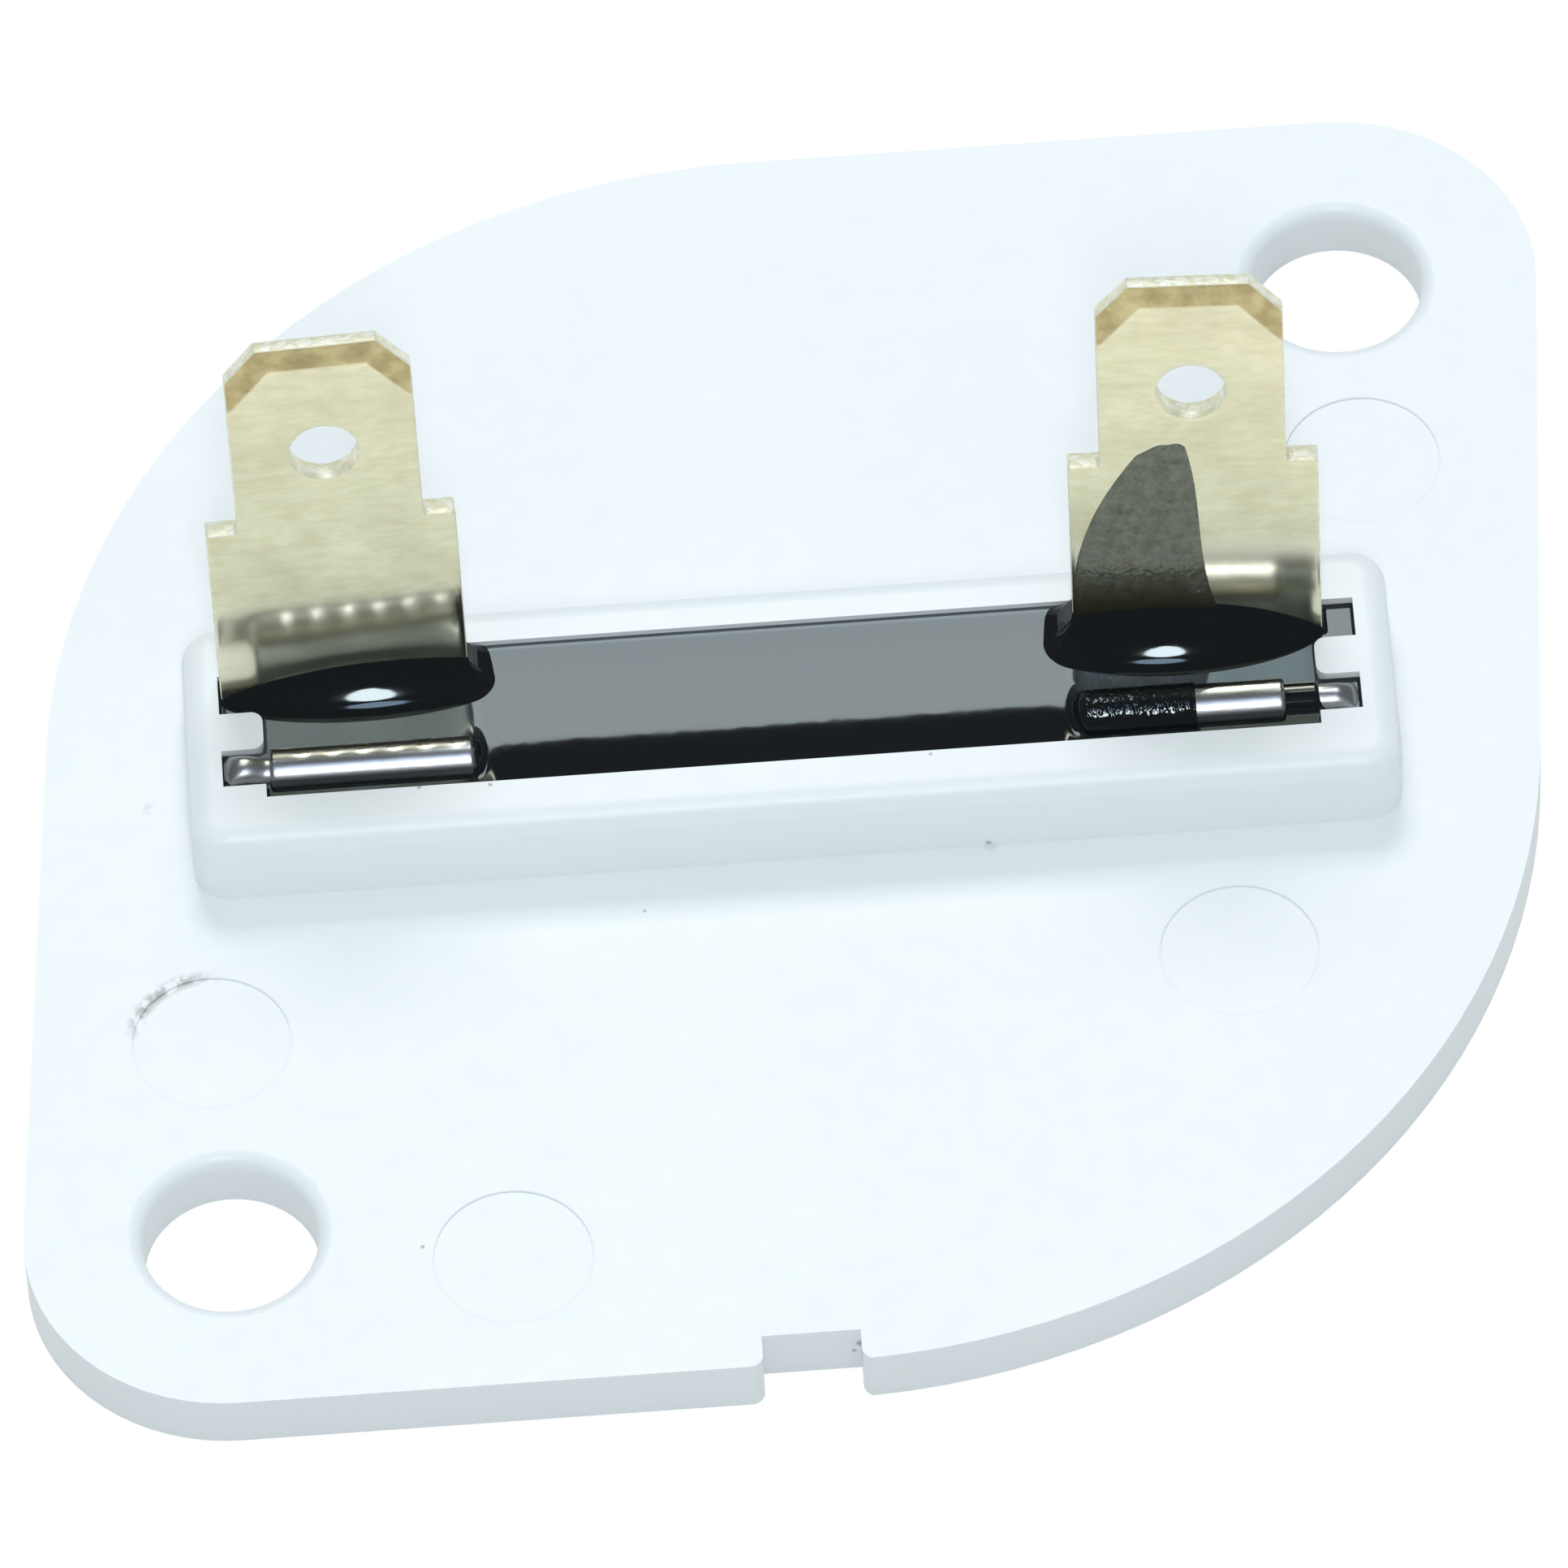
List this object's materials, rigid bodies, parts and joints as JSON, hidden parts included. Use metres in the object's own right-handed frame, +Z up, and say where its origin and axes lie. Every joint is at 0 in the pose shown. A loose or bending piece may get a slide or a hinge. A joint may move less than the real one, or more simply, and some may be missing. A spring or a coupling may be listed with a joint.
{
  "type": "thermal fuse",
  "caption": "Thermal fuse potted in the trough of a white moulded plate, with mounting ears on a diagonal and upright quick-connect tabs.",
  "frame": {"origin": "middle of the plate's underside, halfway between the mounting holes", "axes": "+X along the housing towards the right-hand tab, +Y away from the side the tabs face, +Z up out of the plate"},
  "size_m": [0.0538, 0.0508, 0.0206],
  "materials": {
    "moulded_plastic": "glossy white thermoset moulding",
    "brass_strip": "bright stamped brass strip",
    "epoxy": "glossy cast epoxy",
    "tinned_copper": "tinned wire",
    "plated_case": "silver-plated drawn brass",
    "pellet": "pressed organic compound",
    "inner_brass": "plain brass",
    "spring_steel": "drawn spring wire",
    "silver_contact": "silver-plated contact",
    "bushing_ceramic": "unglazed ceramic",
    "seal_epoxy": "clear amber sealing resin"
  },
  "bodies": {
    "root": {"base": "moulded_plastic", "terminal_left": "brass_strip", "terminal_right": "brass_strip", "potting": "epoxy", "case_lead": "tinned_copper", "isolated_lead": "tinned_copper", "cutoff_case": "plated_case", "thermal_pellet": "pellet", "pressure_disc": "inner_brass", "spring_disc": "inner_brass", "main_spring": "spring_steel", "star_contact": "silver_contact", "trip_spring": "spring_steel", "ceramic_bushing": "bushing_ceramic", "end_seal": "seal_epoxy"}
  },
  "joints": []
}
